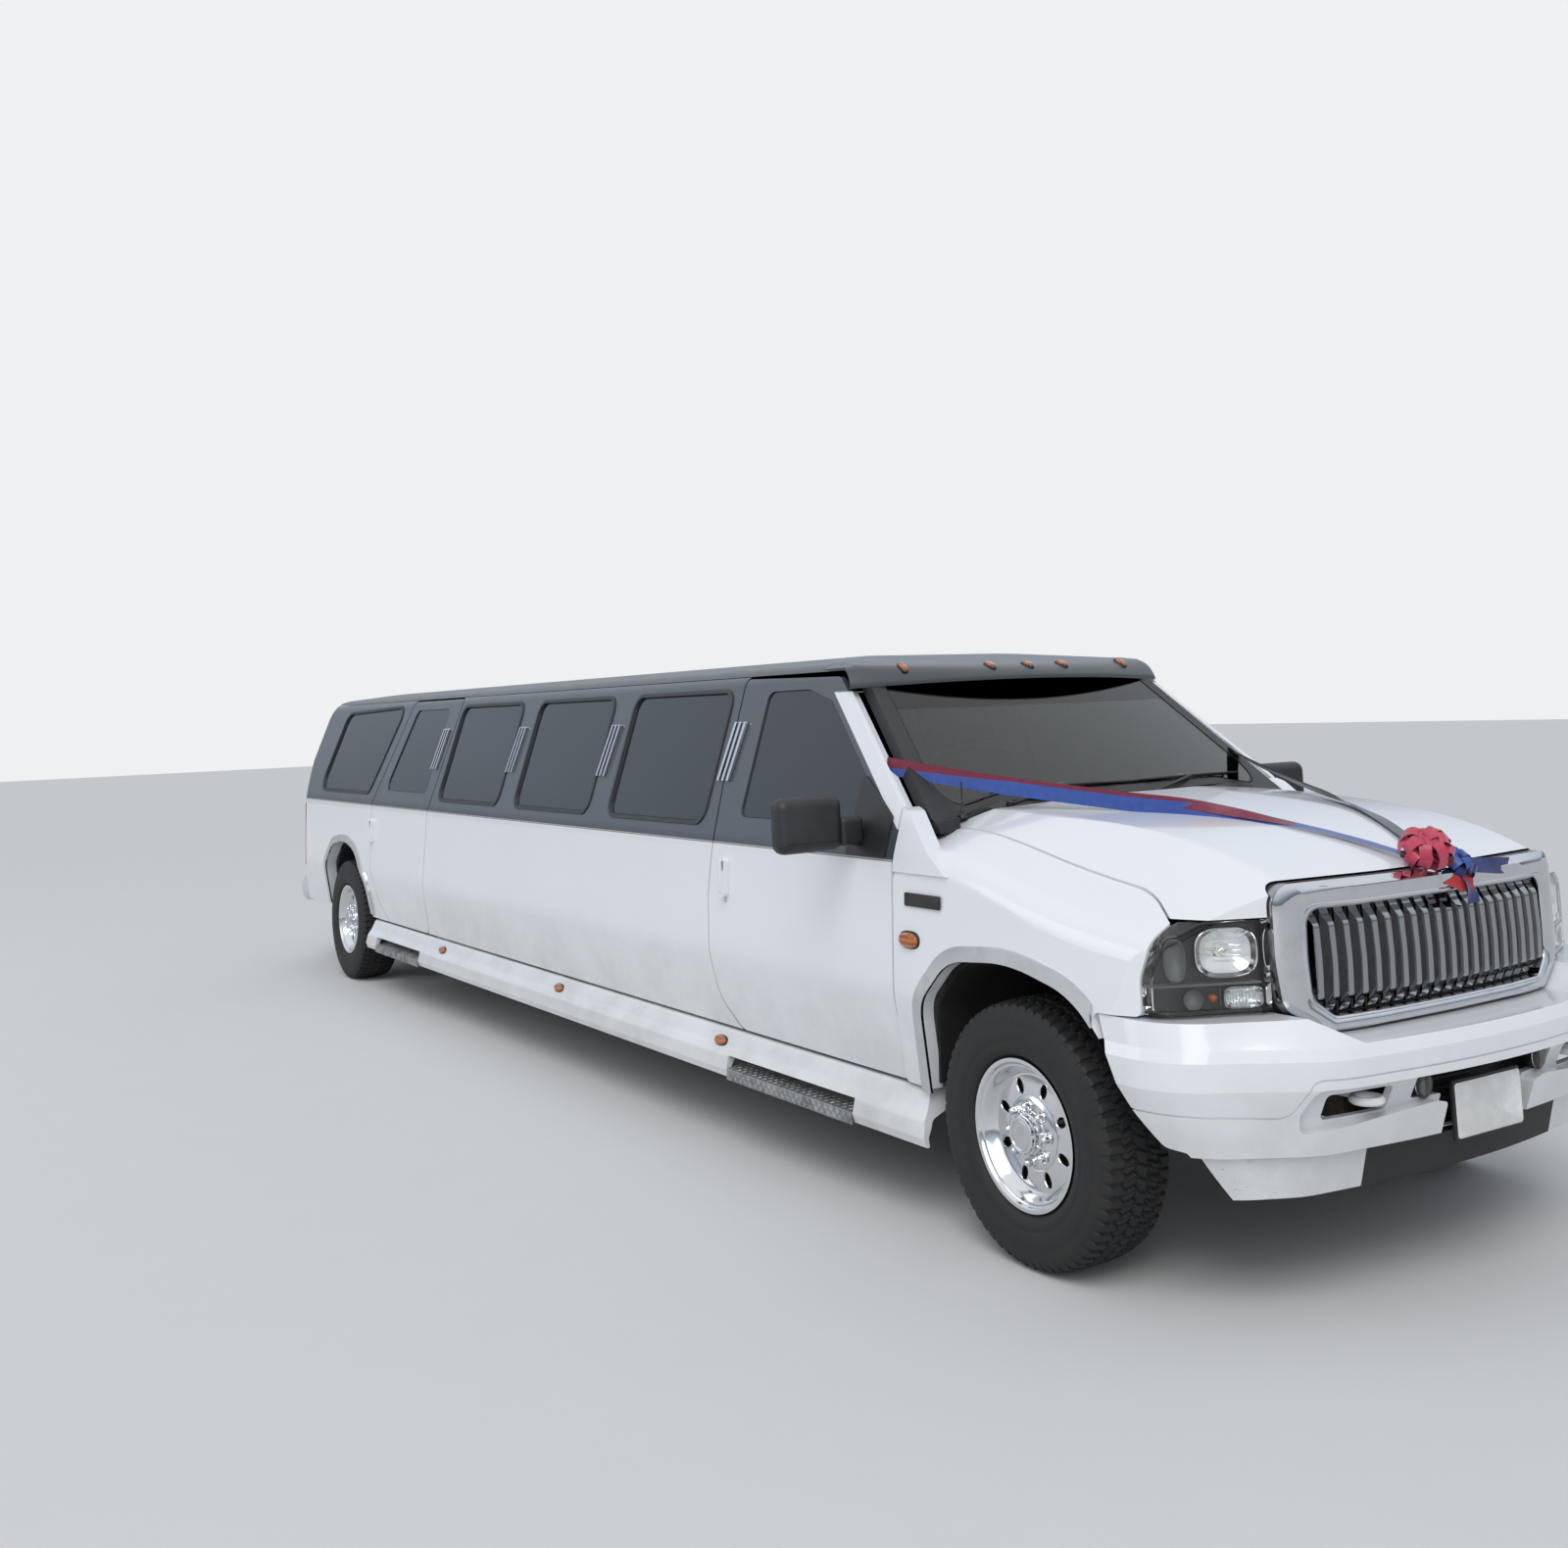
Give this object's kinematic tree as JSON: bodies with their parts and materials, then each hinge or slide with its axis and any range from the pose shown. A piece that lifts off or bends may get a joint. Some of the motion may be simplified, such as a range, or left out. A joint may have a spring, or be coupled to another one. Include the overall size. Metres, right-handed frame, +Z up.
{
  "type": "stretch limousine",
  "caption": "Long-wheelbase stretch limousine on a large utility vehicle, white with a grey roof, chrome grille, side steps and wedding ribbons.",
  "frame": {"origin": "on the ground, at the middle of the car's length and width", "axes": "+X forward along the car, +Y to the car's left, +Z up"},
  "size_m": [9.3185, 2.672, 1.9259],
  "materials": {
    "white_paint": "gloss",
    "grey_paint": "satin",
    "chrome": "polished",
    "black_steel": "satin",
    "black_plastic": "matte",
    "tyre_rubber": "matte",
    "tinted_glass": "gloss",
    "clear_glass": "gloss",
    "amber_lens": "gloss",
    "red_lens": "gloss",
    "checker_plate": "satin",
    "seat_leather": "satin",
    "cast_metal": "matte",
    "ribbon_satin": "satin",
    "bow_satin": "satin",
    "grey_carpet": "matte"
  },
  "bodies": {
    "car": {"arch_trims": "chrome", "cowl_panel": "black_plastic", "cross_members": "black_steel", "dashboard": "black_plastic", "drive_shaft": "black_steel", "engine_block": "cast_metal", "floor_pan": "grey_carpet", "frame_rails": "black_steel", "front_axle": "black_steel", "front_bumper": "white_paint", "front_seats": "seat_leather", "front_wings": "white_paint", "fuel_tank": "black_steel", "grille": "chrome", "headlamps": "clear_glass", "leaf_springs": "black_steel", "lounge_seats": "seat_leather", "marker_lamps": "amber_lens", "pillar_louvres": "chrome", "quarter_panels": "white_paint", "rear_axle": "black_steel", "rear_bumper": "white_paint", "ribbon_rear": "ribbon_satin", "roof_panel": "grey_paint", "roof_visor": "grey_paint", "running_boards": "white_paint", "side_panels": "white_paint", "side_windows": "tinted_glass", "steering_wheel": "black_plastic", "steps": "checker_plate", "tail_lamps": "red_lens", "tow_receiver": "black_steel", "wheel_housings": "black_plastic", "window_frames": "black_plastic", "windscreen": "clear_glass"},
    "front_door_right_body": {"front_door_right": "white_paint", "front_door_glass_right": "tinted_glass", "mirror_right": "black_plastic"},
    "front_door_left_body": {"front_door_left": "white_paint", "front_door_glass_left": "tinted_glass", "mirror_left": "black_plastic"},
    "rear_door_right_body": {"rear_door_right": "white_paint", "rear_door_glass_right": "tinted_glass"},
    "rear_door_left_body": {"rear_door_left": "white_paint", "rear_door_glass_left": "tinted_glass"},
    "hood_body": {"hood": "white_paint", "bow": "bow_satin"},
    "lift_glass_body": {"lift_glass": "tinted_glass"},
    "tail_door_right_body": {"tail_door_right": "white_paint"},
    "tail_door_left_body": {"tail_door_left": "white_paint"},
    "steer_right": {"knuckle_right": "black_steel"},
    "steer_left": {"knuckle_left": "black_steel"},
    "wheel_front_right_body": {"wheel_front_right": "chrome", "tyre_front_right": "tyre_rubber"},
    "wheel_front_left_body": {"wheel_front_left": "chrome", "tyre_front_left": "tyre_rubber"},
    "wheel_rear_right_body": {"wheel_rear_right": "chrome", "tyre_rear_right": "tyre_rubber"},
    "wheel_rear_left_body": {"wheel_rear_left": "chrome", "tyre_rear_left": "tyre_rubber"}
  },
  "joints": [
    {"name": "front_door_right_hinge", "type": "hinge", "parent": "car", "child": "front_door_right_body", "pos_m": [3.07, -1.019, 0.9], "axis": [0, 0, 1], "range_deg": [0, 65]},
    {"name": "rear_door_right_hinge", "type": "hinge", "parent": "car", "child": "rear_door_right_body", "pos_m": [-1.69, -1.019, 0.9], "axis": [0, 0, 1], "range_deg": [0, 70]},
    {"name": "tail_door_right_hinge", "type": "hinge", "parent": "car", "child": "tail_door_right_body", "pos_m": [-4.529, -0.767, 0.9], "axis": [0, 0, 1], "range_deg": [0, 95]},
    {"name": "front_door_left_hinge", "type": "hinge", "parent": "car", "child": "front_door_left_body", "pos_m": [3.07, 1.019, 0.9], "axis": [0, 0, -1], "range_deg": [0, 65]},
    {"name": "rear_door_left_hinge", "type": "hinge", "parent": "car", "child": "rear_door_left_body", "pos_m": [-1.69, 1.019, 0.9], "axis": [0, 0, -1], "range_deg": [0, 70]},
    {"name": "tail_door_left_hinge", "type": "hinge", "parent": "car", "child": "tail_door_left_body", "pos_m": [-4.529, 0.767, 0.9], "axis": [0, 0, -1], "range_deg": [0, 95]},
    {"name": "lift_glass_hinge", "type": "hinge", "parent": "car", "child": "lift_glass_body", "pos_m": [-4.325, 0, 1.849], "axis": [0, 1, 0], "range_deg": [0, 85]},
    {"name": "hood_hinge", "type": "hinge", "parent": "car", "child": "hood_body", "pos_m": [3.111, 0, 1.364], "axis": [0, -1, 0], "range_deg": [0, 45]},
    {"name": "steering_right", "type": "hinge", "parent": "car", "child": "steer_right", "pos_m": [3.671, -0.828, 0.397], "axis": [0, 0, 1], "range_deg": [-32, 32]},
    {"name": "steering_left", "type": "hinge", "parent": "car", "child": "steer_left", "pos_m": [3.671, 0.828, 0.397], "axis": [0, 0, 1], "range_deg": [-32, 32]},
    {"name": "front_wheel_right_spin", "type": "hinge", "parent": "steer_right", "child": "wheel_front_right_body", "pos_m": [3.671, -0.868, 0.397], "axis": [0, 1, 0], "continuous": true},
    {"name": "rear_wheel_right_spin", "type": "hinge", "parent": "car", "child": "wheel_rear_right_body", "pos_m": [-3.369, -0.868, 0.397], "axis": [0, 1, 0], "continuous": true},
    {"name": "front_wheel_left_spin", "type": "hinge", "parent": "steer_left", "child": "wheel_front_left_body", "pos_m": [3.671, 0.868, 0.397], "axis": [0, 1, 0], "continuous": true},
    {"name": "rear_wheel_left_spin", "type": "hinge", "parent": "car", "child": "wheel_rear_left_body", "pos_m": [-3.369, 0.868, 0.397], "axis": [0, 1, 0], "continuous": true}
  ],
  "couplings": [
    {"joint": "steering_left", "follows": "steering_right", "ratio": 1}
  ]
}
